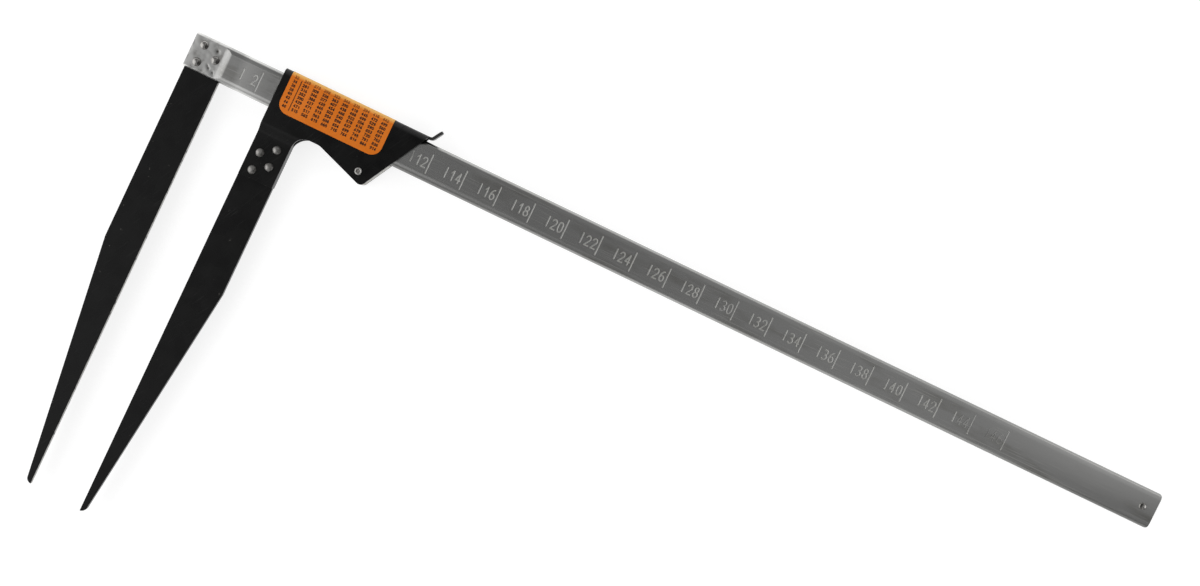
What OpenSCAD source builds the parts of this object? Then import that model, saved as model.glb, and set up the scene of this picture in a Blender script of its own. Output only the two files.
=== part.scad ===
// Log caliper: a flat tubular beam with a fixed jaw, and a folded sheet slider with the moving jaw.
// X runs along the beam from the zero of its scale, Y across it, Z out of its front face.
// The origin lies on the fixed jaw's measuring face, at the beam's lower edge and at mid thickness.

/* [Capacity] */
// Distance between the measuring faces as the caliper lies
opening = 30; // [0:0.5:460]
// Distance between the measuring faces when the slider meets its stop
max_opening = 462; // [200:1:800]

/* [Beam] */
// Height of the beam
beam_h = 20; // [16:0.5:30]
// Thickness of the beam
beam_t = 7; // [6:0.25:10]
// Wall of the tube
beam_wall = 1.2; // [0.8:0.1:1.6]
// Length of the beam past the fixed jaw's outer edge
end_overhang = 0.8; // [0:0.1:3]
// Distance from the measuring face back to where the pressing starts
press_back = 0.1; // [0:0.1:3]
// Length of the slope down to the pressed end
press_ramp = 3.5; // [2:0.1:4]
// Radius of the free end's corners
end_corner_r = 1.3; // [0.5:0.1:3]
// Distance from the stop rivet to the free end
stop_to_end = 7.4; // [4:0.1:20]

/* [Jaws] */
// Width of a jaw
jaw_w = 20; // [16:0.5:30]
// Thickness of a jaw
jaw_t = 3; // [2:0.1:4]
// Reach of the fixed jaw below the beam
jaw_reach = 238; // [150:1:320]
// How much lower than the fixed jaw the moving one reaches
moving_drop = 1.6; // [0:0.1:4]
// Distance below the beam where the taper starts
taper_start = 100; // [60:1:140]
// Width of the tip
tip_w = 2.8; // [2.5:0.1:8]
// Radius of the tip's outer corner
tip_r = 3.2; // [1:0.1:3.6]
// Rise of the tip's end from the measuring face to its outer corner
tip_rise = 1; // [0:0.1:3]
// Setback of the tang from the measuring face
tang_setback = 1; // [0.5:0.1:3]
// Gap between the tang's end and the tube's upper wall
tang_gap = 1; // [0.6:0.1:3]

/* [Slider] */
// Thickness of the folded sheet
sheet_t = 1.6; // [1:0.1:2.5]
// Gap between the beam's face and each plate
side_gap = 0.3; // [0.2:0.05:1]
// Gap between the beam's upper edge and the fold
fold_gap = 1.3; // [0.3:0.1:3]
// Inner radius of the fold
fold_r = 0.8; // [0.4:0.1:2]
// Setback of the plates from the moving jaw's measuring face
plate_setback = 0.3; // [0:0.1:2]
// Place of the slanted edge at the beam's lower edge, from the measuring face
slant_foot = 71.6; // [60:0.2:100]
// Lean of the slanted edge
slant = 29; // [10:1:40]
// Depth of the ear's corner below the beam
ear_drop = 16.9; // [14:0.1:25]
// Slope of the ear's lower edge
ear_rise = 19.5; // [15:0.5:25]
// Radius of the ear's corner
ear_r = 3; // [1:0.1:5]
// Depth of the arch below the beam
arch_drop = 6.75; // [4:0.25:9]
// Radius of the arch at the leg
arch_r = 8; // [4:0.5:10]
// Radius where the arch runs into the ear's lower edge
arch_blend_r = 8; // [2:0.5:12]
// Distance from the arch down to the start of the leg's inward step
step_gap = 1.25; // [0.5:0.25:3]
// Height of the leg's inward step
step_h = 6; // [5:0.5:8]

/* [Thumb tab] */
// Margin from the edges of the fold's flat top to the tab
tab_inset = 0.2; // [0.1:0.05:1]
// Flat length of the tab past the plates
tab_flat = 1; // [0.5:0.1:6]
// Inner radius of the tab's bend
tab_r = 1.5; // [0.5:0.1:4]
// Angle of the upturned lip
tab_bend = 59; // [20:1:85]
// Length of the upturned lip
tab_lip = 5.6; // [4:0.1:12]

/* [Guides] */
// Gap between the beam's lower edge and what runs under it
guide_gap = 0.3; // [0.2:0.05:1]
// Length of the guide block along the beam
guide_len = 25; // [20:0.5:32]

/* [Rivets] */
// Diameter of the jaw rivets' shanks
rivet_d = 3; // [2:0.1:4]
// Diameter of the jaw rivets' heads
rivet_head_d = 4.8; // [4.4:0.1:7]
// Height of the jaw rivets' heads
rivet_head_h = 1.7; // [0.8:0.1:2.2]
// Radial clearance of a rivet in its hole
rivet_clear = 0.05; // [0:0.01:0.1]
// Distance between the two columns of the fixed jaw's rivets
fixed_rivet_columns = 8.6; // [6:0.1:12]
// Distance between the two rivets of the fixed jaw's outer column
fixed_rivet_rows = 9.8; // [6:0.1:11]
// Distance between the two columns of the moving jaw's rivets
moving_rivet_columns = 7.6; // [5:0.1:12]
// Step down from one of the moving jaw's rivets to the next
moving_rivet_pitch = 5; // [4:0.1:8]
// Distance from the leg's inward step down to the first rivet
moving_rivet_start = 4.8; // [3:0.1:10]
// Distance from the last rivet to the leg's end
leg_margin = 4.6; // [3:0.1:10]
// Diameter of the stop rivet's shank
stop_d = 2.6; // [2:0.1:4]
// Diameter of the stop rivet's heads
stop_head_d = 4; // [3.5:0.1:6]
// Height of the stop rivet's heads
stop_head_h = 1.4; // [1:0.1:2]
// Gap between the slanted edge and the stop rivet at the largest opening
stop_gap = 0.2; // [0.1:0.05:0.5]
// Diameter of the corner rivet's hole
eye_d = 2; // [1.4:0.1:2.4]
// Diameter of the corner rivet's shank
eye_tube_d = 3; // [2.6:0.1:3.6]
// Diameter of the corner rivet's rolled rim and of its head
eye_head_d = 4; // [3.8:0.1:5]
// Height of the flat rim under the rolled end
eye_rim_h = 0.3; // [0.1:0.1:1]
// Depth of the corner rivet's blind hole
eye_depth = 5; // [3:0.1:9]
// Distance from the ear's corner in along the slanted edge to the corner rivet
eye_along = 4; // [3:0.1:12]
// Distance from the slanted edge to the corner rivet
eye_inset = 7; // [5:0.1:10]

/* [Label] */
// Distance from the plates' edge to the label
label_start = 4.3; // [1:0.1:10]
// Length of the label
label_len = 59.5; // [40:0.5:62]
// Height of the label's lower edge over the beam's lower edge
label_low = 0.4; // [0:0.1:6]
// Radius of the label's lower corners
label_r = 6; // [1:0.5:8]
// Thickness of the label
label_t = 0.15; // [0.1:0.05:0.3]

/* [Hidden] */
$fn = 64;

// Overlap that carries a cut clean through a face
cut = 1;

// Half thicknesses, measured from the mid plane
beam_half = beam_t / 2;
jaw_half = jaw_t / 2;
pressed_half = jaw_half + beam_wall;
plate_in = beam_half + side_gap;
plate_out = plate_in + sheet_t;
leg_out = jaw_half + sheet_t;
fold_out_r = fold_r + sheet_t;
tab_under = beam_h + fold_gap;
fold_top = tab_under + sheet_t;
tab_w = 2 * (plate_in - fold_r - tab_inset);

// Places along the beam
beam_left = -jaw_w - end_overhang;
stop_y = beam_h / 2;
stop_x = max_opening + slant_foot + stop_y * tan(slant) + (stop_head_d / 2 + stop_gap) / cos(slant);
beam_right = stop_x + stop_to_end;

// Corners of the slider's outline, from the moving jaw's measuring face
ear = [slant_foot - ear_drop * tan(slant), -ear_drop];
arch_end = ear[0] - (ear_drop - arch_drop) / tan(ear_rise);
outline_top = fold_top + cut;
slant_top = slant_foot + outline_top * tan(slant);
step_top = -arch_drop - step_gap;
step_foot = step_top - step_h;
leg_split = (jaw_w + arch_r + arch_end) / 2;
step_count = 8;

// Rivet places: the fixed jaw's from the origin, the others from the moving jaw's measuring face
fixed_mid = beam_left / 2;
fixed_rivets = [
    [fixed_mid + fixed_rivet_columns / 2, beam_h / 2],
    [fixed_mid - fixed_rivet_columns / 2, (beam_h + fixed_rivet_rows) / 2],
    [fixed_mid - fixed_rivet_columns / 2, (beam_h - fixed_rivet_rows) / 2]
];
moving_count = 4;
moving_rivets = [for (i = [0:moving_count - 1]) [
    (jaw_w + moving_rivet_columns * (i % 2 == 0 ? 1 : -1)) / 2,
    step_foot - moving_rivet_start - i * moving_rivet_pitch
]];
leg_end = moving_rivets[moving_count - 1][1] - leg_margin;
eye = ear + eye_along * [sin(slant), cos(slant)] + eye_inset * [-cos(slant), sin(slant)];

function unit(v) = v / norm(v);
function flipped(points) = [for (p = points) [-p[0], p[1], p[2]]];
function reversed(points) = [for (i = [len(points) - 1:-1:0]) points[i]];

// Start, centre and end of the arc that rounds a corner, and a point just past the corner
function corner_arc(before, corner, after, r) =
    let (u = unit(before - corner), w = unit(after - corner))
    let (half = acos(u * w) / 2, inward = unit(u + w))
    let (run = r / tan(half))
    [corner + u * run, corner + inward * r / sin(half), corner + w * run, corner - inward * run / 5];

// The sliver between a corner and the arc that rounds it
module corner_sliver(before, corner, after, r) {
    arc = corner_arc(before, corner, after, r);
    difference() {
        polygon([arc[0], arc[3], arc[2], arc[1]]);
        translate(arc[1]) circle(r);
    }
}

// An anticlockwise outline from [x, y, radius] corners, with true arcs at the rounded ones.
// An outward corner loses its sliver. An inward one is filled to the arc's centre, then cut by the circle.
module rounded_outline(corners) {
    points = [for (c = corners) [c[0], c[1]]];
    last = len(points) - 1;
    function before(i) = points[i == 0 ? last : i - 1];
    function after(i) = points[i == last ? 0 : i + 1];
    function outward(i) = cross(points[i] - before(i), after(i) - points[i]) > 0;
    function arc(i) = corner_arc(before(i), points[i], after(i), corners[i][2]);
    function filled(i) = corners[i][2] > 0 && !outward(i) ? [for (k = [0:2]) arc(i)[k]] : [points[i]];
    difference() {
        polygon([for (i = [0:last]) each filled(i)]);
        for (i = [0:last]) if (corners[i][2] > 0) {
            if (outward(i)) corner_sliver(before(i), points[i], after(i), corners[i][2]);
            else translate(arc(i)[1]) circle(corners[i][2]);
        }
    }
}

// A cross-section drawn in (z, y), swept along the beam
module along_beam(x0, x1) {
    translate([x1, 0, 0]) rotate([0, -90, 0]) linear_extrude(x1 - x0) children();
}

// An outline drawn in (x, y), as thick as given about the mid plane
module plate(thick) {
    linear_extrude(thick, center = true) children();
}

module on_slider() {
    translate([opening, 0, 0]) children();
}

// A domed head that stands on z = 0
module dome(d, h) {
    ball_r = (d * d / 4 + h * h) / (2 * h);
    rotate_extrude() intersection() {
        translate([0, h - ball_r]) circle(ball_r);
        square([d / 2 + cut, h + cut]);
    }
}

// A rivet with a dome on both faces of a grip
module domed_rivet(shank_d, head_d, head_h, grip) {
    cylinder(d = shank_d, h = grip, center = true);
    for (side = [0, 1]) mirror([0, 0, side]) translate([0, 0, grip / 2]) dome(head_d, head_h);
}

module rivet_holes(places, d) {
    for (p = places) translate(p) cylinder(r = d / 2 + rivet_clear, h = 4 * plate_out, center = true);
}

// The tube's section, inset by a wall
module flat_oval(inset) {
    for (y = [beam_half, beam_h - beam_half]) translate([0, y]) circle(beam_half - inset);
    translate([inset - beam_half, beam_half]) square([beam_t - 2 * inset, beam_h - beam_t]);
}

// Side view of the pressed end: thin at the jaw, sloping up to the full tube
module pressed_side(thin, full) {
    slope_top = -press_back;
    slope_foot = slope_top - press_ramp;
    upper = [[slope_top, full], [slope_foot, thin], [beam_left - cut, thin]];
    far = [[beam_right + cut, full + cut], [slope_top, full + cut]];
    half = concat(far, upper);
    translate([0, beam_h + cut, 0]) rotate([90, 0, 0]) linear_extrude(beam_h + 2 * cut)
        polygon(concat(half, [for (p = reversed(half)) [p[0], -p[1]]]));
}

module beam() {
    color("silver") difference() {
        intersection() {
            along_beam(beam_left, beam_right) flat_oval(0);
            pressed_side(pressed_half, beam_half);
        }
        intersection() {
            along_beam(beam_left - cut, beam_right + cut) flat_oval(beam_wall);
            pressed_side(jaw_half, beam_half - beam_wall);
        }
        translate([-jaw_w, -cut, -jaw_half]) cube([jaw_w - tang_setback, beam_half + cut, jaw_t]);
        for (y = [0, beam_h]) {
            plate(2 * beam_t)
                corner_sliver([beam_left, y], [beam_right, y], [beam_right, beam_h - y], end_corner_r);
        }
        rivet_holes(fixed_rivets, rivet_d);
        rivet_holes([[stop_x, stop_y]], stop_d);
    }
}

// A jaw's outline below the beam, its measuring face on x = 0 and its body towards +x
module jaw_outline(top, drop) {
    tip = -jaw_reach - drop;
    rounded_outline([
        [0, top, 0],
        [0, tip, 0],
        [tip_w, tip + tip_rise, tip_r],
        [jaw_w, -taper_start - drop, 0],
        [jaw_w, top, 0]
    ]);
}

module fixed_jaw() {
    tang_top = beam_h - beam_wall - tang_gap;
    color([0.09, 0.09, 0.09]) difference() {
        plate(jaw_t) mirror([1, 0]) {
            jaw_outline(0, 0);
            translate([tang_setback, -cut]) square([jaw_w - tang_setback, tang_top + cut]);
        }
        rivet_holes(fixed_rivets, rivet_d);
    }
}

module fixed_jaw_rivets() {
    color("gainsboro") for (p = fixed_rivets) {
        translate(p) domed_rivet(rivet_d, rivet_head_d, rivet_head_h, 2 * pressed_half);
    }
}

module stop_rivet() {
    color("gainsboro") translate([stop_x, stop_y]) domed_rivet(stop_d, stop_head_d, stop_head_h, beam_t);
}

// The outline of both plates seen from the front
module slider_outline() {
    rounded_outline([
        [plate_setback, leg_end, 0],
        [jaw_w, leg_end, 0],
        [jaw_w, -arch_drop, arch_r],
        [arch_end, -arch_drop, arch_blend_r],
        [ear[0], ear[1], ear_r],
        [slant_top, outline_top, 0],
        [plate_setback, outline_top, 0]
    ]);
}

// The folded sheet's section from the outer and inner corners of one side, listed upwards
module sheet_section(outer, inner) {
    rounded_outline(concat(outer, reversed(flipped(outer)), flipped(inner), reversed(inner)));
}

// One face of the leg from its foot up to the full width, with a smooth step from half width a to b
function leg_face(a, b) = concat(
    [[a, leg_end - cut, 0]],
    [for (i = [0:step_count])
        let (up = i / step_count)
        [a + (b - a) * (1 - cos(180 * up)) / 2, step_foot + step_h * up, 0]]
);

module leg_section() {
    sheet_section(
        concat(leg_face(leg_out, plate_out), [[plate_out, fold_top, fold_out_r]]),
        concat(leg_face(jaw_half, plate_in), [[plate_in, tab_under, fold_r]])
    );
}

module ear_section() {
    foot = ear[1] - cut;
    sheet_section(
        [[plate_out, foot, 0], [plate_out, fold_top, fold_out_r]],
        [[plate_in, foot, 0], [plate_in, tab_under, fold_r]]
    );
}

// The tongue of the fold that turns up for the thumb
module thumb_tab() {
    root = slant_foot + tab_under * tan(slant);
    lip_straight = tab_lip - tab_w / 2;
    translate([root - cut, tab_under, -tab_w / 2]) cube([cut + tab_flat, sheet_t, tab_w]);
    translate([root + tab_flat, fold_top + tab_r, 0]) {
        rotate([0, 0, -90]) rotate_extrude(angle = tab_bend)
            translate([tab_r, -tab_w / 2]) square([sheet_t, tab_w]);
        rotate([0, 0, tab_bend]) translate([0, -tab_r - sheet_t, 0]) {
            translate([0, 0, -tab_w / 2]) cube([lip_straight, sheet_t, tab_w]);
            translate([lip_straight, 0, 0]) rotate([-90, 0, 0]) cylinder(d = tab_w, h = sheet_t);
        }
    }
}

module slider() {
    color([0.1, 0.1, 0.1]) on_slider() difference() {
        union() {
            intersection() {
                plate(2 * plate_out + cut) slider_outline();
                union() {
                    along_beam(0, leg_split) leg_section();
                    along_beam(leg_split, slant_top + cut) ear_section();
                }
            }
            thumb_tab();
        }
        rivet_holes(moving_rivets, rivet_d);
        rivet_holes([eye], eye_tube_d);
    }
}

module moving_jaw() {
    color([0.09, 0.09, 0.09]) on_slider() difference() {
        plate(jaw_t) jaw_outline(-guide_gap, moving_drop);
        rivet_holes(moving_rivets, rivet_d);
    }
}

module moving_jaw_rivets() {
    color("gainsboro") on_slider() for (p = moving_rivets) {
        translate(p) domed_rivet(rivet_d, rivet_head_d, rivet_head_h, 2 * leg_out);
    }
}

// The block fills the ear between the plates, flush with their slanted edge
module guide_block() {
    below = 2 * ear_drop;
    color("ivory") on_slider() difference() {
        plate(2 * plate_in) intersection() {
            slider_outline();
            translate([slant_foot - guide_len, -below]) square([guide_len, below - guide_gap]);
        }
        rivet_holes([eye], eye_tube_d);
    }
}

// A rivet with a domed head on the back plate and a hollow front end,
// whose rim is rolled out over the front plate
module corner_rivet() {
    hole_r = eye_d / 2;
    roll_r = (eye_head_d - eye_d) / 4;
    rim_top = plate_out + eye_rim_h;
    color("gainsboro") on_slider() translate(eye) {
        rotate_extrude() {
            difference() {
                translate([0, -plate_out]) square([eye_tube_d / 2, plate_out + rim_top]);
                translate([0, rim_top - eye_depth]) square([hole_r, eye_depth + cut]);
            }
            translate([hole_r, plate_out]) square([2 * roll_r, eye_rim_h]);
            intersection() {
                translate([hole_r + roll_r, rim_top]) circle(roll_r);
                translate([hole_r, plate_out]) square(2 * roll_r);
            }
        }
        mirror([0, 0, 1]) translate([0, 0, plate_out]) dome(eye_head_d, eye_rim_h + roll_r);
    }
}

// The label's section: up the front plate, round the fold and across its top
module label_section() {
    bend_y = fold_top - fold_out_r;
    bend_z = plate_out - fold_out_r;
    translate([plate_out, label_low]) square([label_t, bend_y - label_low]);
    translate([-bend_z, fold_top]) square([2 * bend_z, label_t]);
    intersection() {
        translate([bend_z, bend_y]) difference() {
            circle(fold_out_r + label_t);
            circle(fold_out_r);
        }
        translate([bend_z, bend_y]) square(fold_out_r + cut);
    }
}

module label() {
    x0 = plate_setback + label_start;
    x1 = x0 + label_len;
    over = fold_top + cut;
    color("darkorange") on_slider() intersection() {
        along_beam(x0 - cut, x1 + cut) label_section();
        plate(2 * plate_out + cut) rounded_outline([
            [x0, label_low, label_r],
            [x1, label_low, label_r],
            [x1, over, 0],
            [x0, over, 0]
        ]);
    }
}

beam();
fixed_jaw();
fixed_jaw_rivets();
stop_rivet();
slider();
moving_jaw();
moving_jaw_rivets();
guide_block();
corner_rivet();
label();
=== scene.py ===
import math
import random

import bmesh
import bpy
import numpy as np
from mathutils import Matrix, Vector
from mathutils.geometry import delaunay_2d_cdt


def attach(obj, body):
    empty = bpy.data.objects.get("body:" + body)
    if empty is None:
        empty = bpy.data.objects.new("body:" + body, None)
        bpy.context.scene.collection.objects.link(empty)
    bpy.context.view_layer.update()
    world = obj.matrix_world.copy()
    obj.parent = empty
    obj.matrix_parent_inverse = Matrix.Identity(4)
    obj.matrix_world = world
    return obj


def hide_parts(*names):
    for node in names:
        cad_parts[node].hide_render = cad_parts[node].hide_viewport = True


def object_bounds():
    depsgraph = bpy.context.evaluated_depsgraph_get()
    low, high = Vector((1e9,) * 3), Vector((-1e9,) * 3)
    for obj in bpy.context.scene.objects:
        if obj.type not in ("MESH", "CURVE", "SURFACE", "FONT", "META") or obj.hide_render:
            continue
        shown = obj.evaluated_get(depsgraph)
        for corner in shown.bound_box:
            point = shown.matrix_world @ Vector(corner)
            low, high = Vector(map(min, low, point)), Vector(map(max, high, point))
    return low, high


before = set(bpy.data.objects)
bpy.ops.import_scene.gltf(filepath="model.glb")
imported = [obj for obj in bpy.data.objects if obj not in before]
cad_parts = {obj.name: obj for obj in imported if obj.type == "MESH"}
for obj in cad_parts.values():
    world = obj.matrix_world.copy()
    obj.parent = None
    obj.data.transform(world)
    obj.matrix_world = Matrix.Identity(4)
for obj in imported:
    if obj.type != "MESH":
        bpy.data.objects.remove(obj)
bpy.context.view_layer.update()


# Beam
# A flat oval tube of drawn aluminium. Its left end is pressed together round the fixed jaw's tang,
# and its centimetre scale is struck into the front with punches, tick by tick and figure by figure.
MM = 0.001
same_place = 0.001
net_weld = 0.0001
beam_middle = 10.0
front_z = 3.5
pressed_z = 2.7
slope = (-3.6, -0.1)
eased_head = 1.0
slope_steps = 12
fixed_rivets = [(-6.1, 10.0), (-14.7, 14.9), (-14.7, 5.1)]
beam_crease = 22
flat_crease = 0.3

last_cm = 46
long_tick = (3.9, 15.3)
short_tick = (6.4, 12.8)
tick_end = 0.3
arc_step = 24
figure_base = 6.75
figure_size = (2.3, 5.4)
figure_pitch = 3.7
figure_back = 2.75
stroke_width = 0.8
stroke_floor = 0.35
stroke_depth = 0.14
stroke_search = 12
usual_force = 0.85
worn_figures = {2: 0.5, 30: 0.5, 44: 0.35, 45: 0.2, 46: 0.25}
least_tick_force = 0.5

# Each dent's place, radius and depth
dents = [
    (-6.9, 14.9, 0.9, 0.20), (-8.7, 5.9, 0.6, 0.16), (-7.7, 4.8, 0.7, 0.20), (-4.7, 3.4, 0.8, 0.16),
    (-11.4, 10.2, 1.3, 0.07), (-17.2, 9.2, 1.1, 0.06), (-12.6, 17.0, 1.0, 0.05), (-10.2, 2.6, 1.2, 0.05),
]
dent_grid = 0.45
dent_run = (-20.4, -3.9)
dent_rise = (1.7, 18.4)
dent_to_rivet = 1.9
wave_height = 0.02
dent_shade_from, dent_shade_full = 0.05, 0.16


def arc(cx, cy, rx, ry, start, end):
    steps = max(3, round(abs(end - start) / arc_step))
    turns = [math.radians(start + (end - start) * i / steps) for i in range(steps + 1)]
    return [(cx + rx * math.cos(t), cy + ry * math.sin(t)) for t in turns]


# The strokes of each figure in a cell 1 wide and 2 high
FIGURES = {
    "0": [arc(0.5, 1.35, 0.5, 0.65, 0, 180) + arc(0.5, 0.65, 0.5, 0.65, 180, 360) + [(1, 1.35)]],
    "1": [[(0.3, 1.5), (0.7, 2)], [(0.7, 2), (0.7, 0)]],
    "2": [arc(0.5, 1.45, 0.5, 0.55, 165, -35) + [(0, 0)], [(0, 0), (1, 0)]],
    "3": [arc(0.45, 1.52, 0.48, 0.48, 140, -90), arc(0.45, 0.52, 0.55, 0.52, 90, -140)],
    "4": [[(0.72, 0), (0.72, 2)], [(0.72, 2), (0, 0.6)], [(0, 0.6), (1, 0.6)]],
    "5": [[(0.9, 2), (0.15, 2)], [(0.15, 2), (0.05, 1.1)], arc(0.45, 0.62, 0.55, 0.62, 130, -140)],
    "6": [arc(0.5, 0.58, 0.5, 0.58, 0, 360), arc(0.8, 0.58, 0.8, 1.42, 180, 90)],
    "7": [[(0, 2), (1, 2)], [(1, 2), (0.35, 0)]],
    "8": [arc(0.5, 1.5, 0.42, 0.48, 0, 360), arc(0.5, 0.52, 0.5, 0.52, 0, 360)],
}
FIGURES["9"] = [[(1 - x, 2 - y) for x, y in stroke] for stroke in FIGURES["6"]]


def number_strokes(text, last_centre, base, size, pitch):
    """The strokes of a number, in millimetres, its last figure centred at last_centre"""
    strokes = []
    for i, figure in enumerate(text):
        left = last_centre - pitch * (len(text) - 1 - i) - size[0] / 2
        strokes += [[(left + x * size[0], base + y * size[1] / 2) for x, y in s] for s in FIGURES[figure]]
    return strokes


def stroke_outline(stroke, width):
    """The closed outline that a round tip of this width draws along a stroke"""
    points = [Vector(p) for p in stroke]
    runs = [(b - a).normalized() for a, b in zip(points, points[1:])]
    ways = [runs[0]] + [(a + b).normalized() for a, b in zip(runs, runs[1:])] + [runs[-1]]
    sides = [Vector((-w.y, w.x)) * width / 2 for w in ways]

    def cap(centre, side):
        return [centre + Matrix.Rotation(-math.radians(a), 2) @ side for a in (45, 90, 135)]

    left = [p + s for p, s in zip(points, sides)]
    right = [p - s for p, s in zip(points, sides)]
    return left + cap(points[-1], sides[-1]) + right[::-1] + cap(points[0], -sides[0])


def welded_copy(node_name):
    """A CAD node's mesh with its split corners joined, ready to be cut"""
    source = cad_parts[node_name].data
    bm = bmesh.new()
    corners = [bm.verts.new(v.co) for v in source.vertices]
    for face in source.polygons:
        bm.faces.new([corners[i] for i in face.vertices])
    bmesh.ops.remove_doubles(bm, verts=bm.verts, dist=same_place * MM)
    bmesh.ops.recalc_face_normals(bm, faces=bm.faces)
    return bm


def recut_flat(bm, z, lines, dots, height):
    """Cuts the flat front face at z along closed lines and through dots, and lifts each new point
    by height"""
    flat = [f for f in bm.faces if all(abs(v.co.z / MM - z) < same_place for v in f.verts)]
    bmesh.ops.delete(bm, geom=flat, context="FACES")
    rim = [e for e in bm.edges if e.is_boundary]
    corners = list(dict.fromkeys(v for e in rim for v in e.verts))
    place = {v: i for i, v in enumerate(corners)}
    points = [v.co.xy / MM for v in corners]
    edges = [tuple(place[v] for v in e.verts) for e in rim]
    ends = np.array([[points[a], points[b]] for a, b in edges], float)
    for line in lines:
        first = len(points)
        points += [Vector(p) for p in line]
        edges += [(first + i, first + (i + 1) % len(line)) for i in range(len(line))]
    points += [Vector(p) for p in dots]
    net, _, faces, origins, _, _ = delaunay_2d_cdt(points, edges, [], 0, net_weld)
    lifts = height(np.array(net, float))
    known = [next((corners[k] for k in ids if k < len(corners)), None) for ids in origins]
    verts = [
        old or bm.verts.new((p.x * MM, p.y * MM, (z + lift) * MM))
        for p, lift, old in zip(net, lifts, known)
    ]
    made = []
    (x0, y0), (x1, y1) = ends[:, 0].T, ends[:, 1].T
    for face in faces:
        cx, cy = sum((net[k] for k in face), Vector((0, 0))) / len(face)
        spans = (y0 > cy) != (y1 > cy)
        beyond = cx < x0[spans] + (cy - y0[spans]) * (x1 - x0)[spans] / (y1 - y0)[spans]
        if beyond.sum() % 2:
            made.append(bm.faces.new([verts[k] for k in face]))
    return made


struck = []
for cm in range(1, last_cm + 1):
    force = worn_figures.get(cm, usual_force)
    low, high = short_tick if cm % 2 else long_tick
    foot, head = low + stroke_width / 2, high - stroke_width / 2
    if cm % 2:
        struck.append(([(10 * cm, foot), (10 * cm, head)], force))
    else:
        struck.append(([(10 * cm, foot), (10 * cm, head)], max(force, least_tick_force)))
        struck.append(([(10 * cm, foot), (10 * cm, foot + tick_end)], 1.0))
        strokes = number_strokes(str(cm), 10 * cm - figure_back, figure_base, figure_size, figure_pitch)
        struck += [(stroke, force) for stroke in strokes]
segments = [(a, b, force) for stroke, force in struck for a, b in zip(stroke, stroke[1:])]
seg_start = np.array([s[0] for s in segments])
seg_end = np.array([s[1] for s in segments])
seg_force = np.array([s[2] for s in segments])


def stroke_gaps(point, starts, ends):
    """How far a point is from each of some straight strokes"""
    runs = ends - starts
    along = np.clip(((point - starts) * runs).sum(1) / (runs * runs).sum(1), 0, 1)
    return np.linalg.norm(starts + along[:, None] * runs - point, axis=1)


def struck_share(points):
    """How deep the punches went at each point, as a share of the full depth"""
    deepest = np.zeros(len(points))
    for i, p in enumerate(points):
        near = np.abs(seg_start[:, 0] - p[0]) < stroke_search
        if near.any():
            gaps = stroke_gaps(p, seg_start[near], seg_end[near])
            share = (stroke_width / 2 - gaps) / (stroke_width - stroke_floor) * 2
            deepest[i] = (np.clip(share, 0, 1) * seg_force[near]).max()
    return deepest


def dent_depth(points):
    """The marks that the press and the riveting hammer left on the pressed end"""
    x, y = points.T
    wave = wave_height * np.sin(x * 0.9 + 1.3 * np.sin(y * 0.5)) * np.sin(y * 0.7 + 0.8)
    return wave - sum(d * np.exp(-((x - cx) ** 2 + (y - cy) ** 2) / r**2) for cx, cy, r, d in dents)


def ease_slope(bm):
    """Rounds the slope from the pressed end to the full tube, at its foot and past its head"""
    foot = slope[0]
    for i in range(1, slope_steps + 1):
        cut_at = ((foot + (eased_head - foot) * i / slope_steps) * MM, 0, 0)
        everything = bm.verts[:] + bm.edges[:] + bm.faces[:]
        bmesh.ops.bisect_plane(
            bm, geom=everything, dist=same_place * MM, plane_co=cut_at, plane_no=(1, 0, 0)
        )
    for v in bm.verts:
        share = (v.co.x / MM - foot) / (eased_head - foot)
        eased = pressed_z + (front_z - pressed_z) * (3 - 2 * share) * share**2
        if 0 < share < 1 and abs(v.co.z / MM) > eased:
            v.co.z = math.copysign(eased * MM, v.co.z)


beam_mesh = welded_copy("beam")
ease_slope(beam_mesh)
outlines = [stroke_outline(s, w) for s, _ in struck for w in (stroke_width, stroke_floor)]
scale_faces = recut_flat(beam_mesh, front_z, outlines, [], lambda p: -stroke_depth * struck_share(p))
struck_layer = beam_mesh.verts.layers.float.new("struck")
for v in {v for f in scale_faces for v in f.verts}:
    v[struck_layer] = max(0.0, (front_z - v.co.z / MM) / stroke_depth)
dent_spots = [
    (x, y)
    for x in np.arange(*dent_run, dent_grid)
    for y in np.arange(*dent_rise, dent_grid)
    if min(math.dist((x, y), c) for c in fixed_rivets) > dent_to_rivet
]
pressed_faces = recut_flat(beam_mesh, pressed_z, [], dent_spots, dent_depth)
# Painted shade: each dent is darkened with its depth
dent_shade_layer = beam_mesh.verts.layers.float.new("dent_shade")
for v in {v for f in pressed_faces for v in f.verts}:
    v[dent_shade_layer] = min(max((pressed_z - v.co.z / MM - dent_shade_from) / (dent_shade_full - dent_shade_from), 0.0), 1.0)
bmesh.ops.recalc_face_normals(beam_mesh, faces=beam_mesh.faces)


def finished(bm, name, crease, flats=()):
    """Turns a mesh into a piece, shaded smooth up to an angle of crease, and with flats that stay flat"""
    flats = set(flats)
    for face in bm.faces:
        face.smooth = True
    for edge in bm.edges:
        limit = flat_crease if flats.intersection(edge.link_faces) else crease
        edge.smooth = edge.is_manifold and edge.calc_face_angle() < math.radians(limit)
    mesh = bpy.data.meshes.new(name)
    bm.to_mesh(mesh)
    bm.free()
    piece = bpy.data.objects.new(name, mesh)
    bpy.context.scene.collection.objects.link(piece)
    return piece


def linear(code):
    """A colour written as sRGB hex, turned to linear"""
    parts = [int(code[i : i + 2], 16) / 255 for i in (1, 3, 5)]
    return (*[c / 12.92 if c <= 0.04045 else ((c + 0.055) / 1.055) ** 2.4 for c in parts], 1)


def per_size(*sizes):
    """The scale along each axis of a pattern whose marks have these sizes in millimetres"""
    return [1 / size for size in sizes]


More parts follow.
